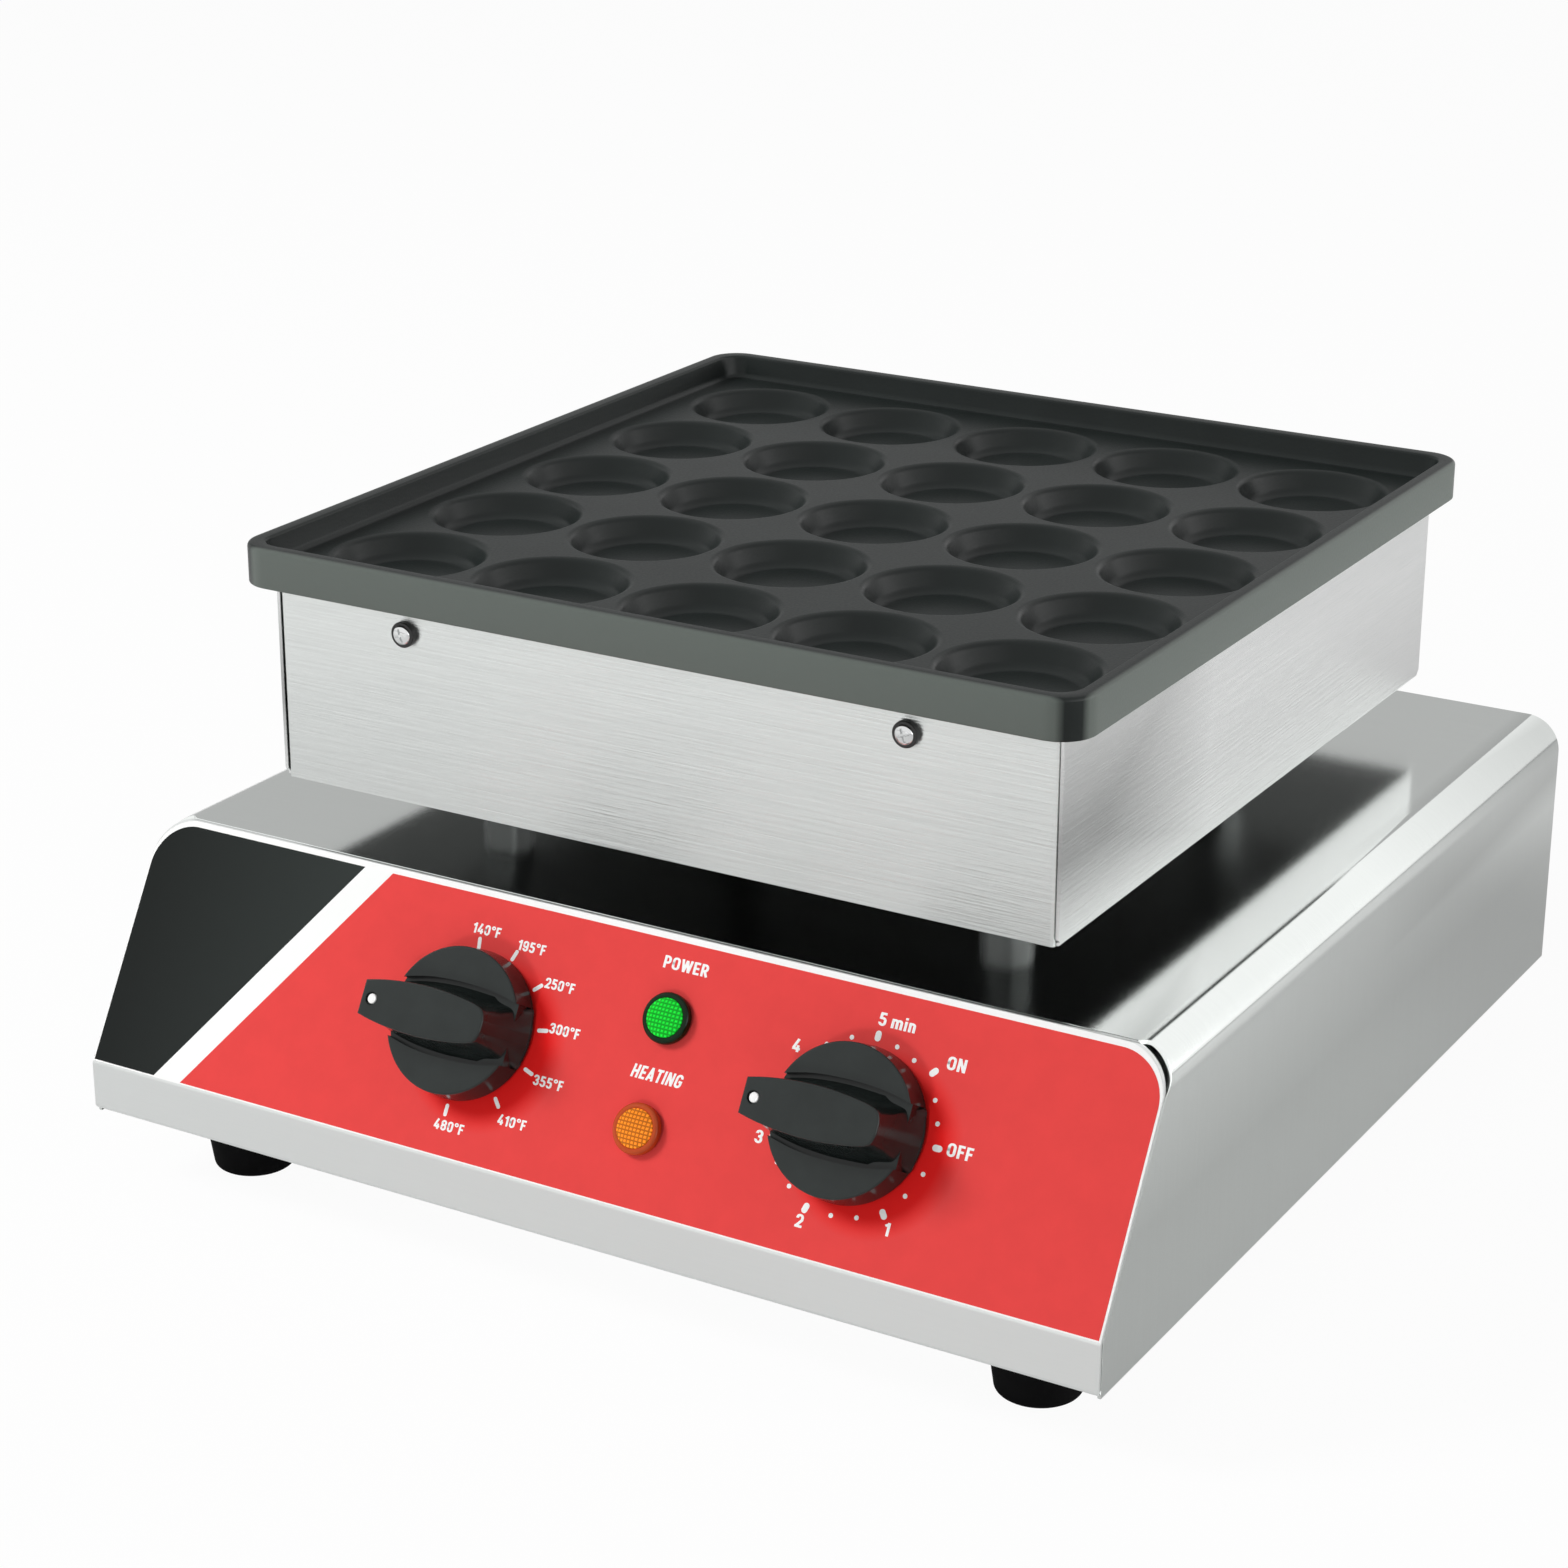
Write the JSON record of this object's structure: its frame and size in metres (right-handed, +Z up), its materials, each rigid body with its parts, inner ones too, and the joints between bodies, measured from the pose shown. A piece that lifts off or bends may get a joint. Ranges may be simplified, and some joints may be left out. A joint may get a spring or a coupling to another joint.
{
  "type": "mini pancake maker",
  "caption": "Countertop maker of small round pancakes: a dished non-stick plate on a steel box, held on posts above a steel base with a slanted panel, two dials and two lamps.",
  "frame": {"origin": "on the worktop, under the middle of the whole outline", "axes": "+Z up, +Y away from the dials towards the back, +X to the right of someone who faces the dials"},
  "size_m": [0.371, 0.394, 0.2159],
  "materials": {
    "brushed_steel": "stainless sheet, brushed along its length",
    "bright_steel": "polished stainless steel",
    "zinc_steel": "zinc-plated steel, satin",
    "non_stick_coating": "cast aluminium under a dark grey non-stick coating, satin",
    "element_sheath": "steel sheath darkened by heat",
    "copper": "drawn copper, satin",
    "black_plastic": "moulded black plastic, semi-gloss",
    "white_plastic": "white marking on a dial",
    "ceramic": "unglazed cream ceramic",
    "black_rubber": "moulded black rubber, matt",
    "panel_film": "printed polycarbonate film in red, white and black",
    "green_lens": "ribbed green lamp lens",
    "green_bezel": "dark green translucent plastic",
    "amber_lens": "ribbed amber lamp lens",
    "amber_bezel": "dark amber translucent plastic",
    "glass_fibre_sleeve": "braided glass-fibre sleeve"
  },
  "bodies": {
    "housing": {"box_shell": "brushed_steel", "box_front_panel": "brushed_steel", "box_back_panel": "brushed_steel", "base_cover": "brushed_steel", "front_panel": "brushed_steel", "back_panel": "brushed_steel", "bottom_plate": "brushed_steel", "baking_plate": "non_stick_coating", "heating_element": "element_sheath", "element_clamp_front": "zinc_steel", "clamp_screw_front": "zinc_steel", "element_clamp_back": "zinc_steel", "clamp_screw_back": "zinc_steel", "thermostat_bulb": "copper", "overheat_cutout": "ceramic", "capillary_tube": "copper", "element_lead_left": "glass_fibre_sleeve", "element_lead_right": "glass_fibre_sleeve", "dome_screw_front_left": "bright_steel", "post_sleeve_front_left": "bright_steel", "post_bolt_front_left": "zinc_steel", "post_nut_front_left": "zinc_steel", "foot_front_left": "black_rubber", "foot_screw_front_left": "zinc_steel", "dome_screw_front_right": "bright_steel", "post_sleeve_front_right": "bright_steel", "post_bolt_front_right": "zinc_steel", "post_nut_front_right": "zinc_steel", "foot_front_right": "black_rubber", "foot_screw_front_right": "zinc_steel", "dome_screw_back_left": "bright_steel", "post_sleeve_back_left": "bright_steel", "post_bolt_back_left": "zinc_steel", "post_nut_back_left": "zinc_steel", "foot_back_left": "black_rubber", "foot_screw_back_left": "zinc_steel", "dome_screw_back_right": "bright_steel", "post_sleeve_back_right": "bright_steel", "post_bolt_back_right": "zinc_steel", "post_nut_back_right": "zinc_steel", "foot_back_right": "black_rubber", "foot_screw_back_right": "zinc_steel", "panel_overlay": "panel_film", "terminal_block": "ceramic", "cable_gland_body": "black_plastic", "cable_gland_cap": "black_plastic", "cable_gland_locknut": "black_plastic", "thermostat_body": "zinc_steel", "timer_body": "zinc_steel", "power_lamp_bezel": "green_bezel", "power_lamp_lens": "green_lens", "heating_lamp_bezel": "amber_bezel", "heating_lamp_lens": "amber_lens"},
    "thermostat_dial": {"thermostat_knob": "black_plastic", "thermostat_knob_dot": "white_plastic", "thermostat_shaft": "zinc_steel"},
    "timer_dial": {"timer_knob": "black_plastic", "timer_knob_dot": "white_plastic", "timer_shaft": "zinc_steel"}
  },
  "joints": [
    {"name": "thermostat_knob_turn", "type": "hinge", "parent": "housing", "child": "thermostat_dial", "pos_m": [-0.0469, -0.17349, 0.07979], "axis": [0, 0.8625, -0.5061], "range_deg": [0, 270]},
    {"name": "timer_knob_turn", "type": "hinge", "parent": "housing", "child": "timer_dial", "pos_m": [0.0925, -0.17349, 0.07979], "axis": [0, 0.8625, -0.5061], "range_deg": [-225, 90]}
  ]
}
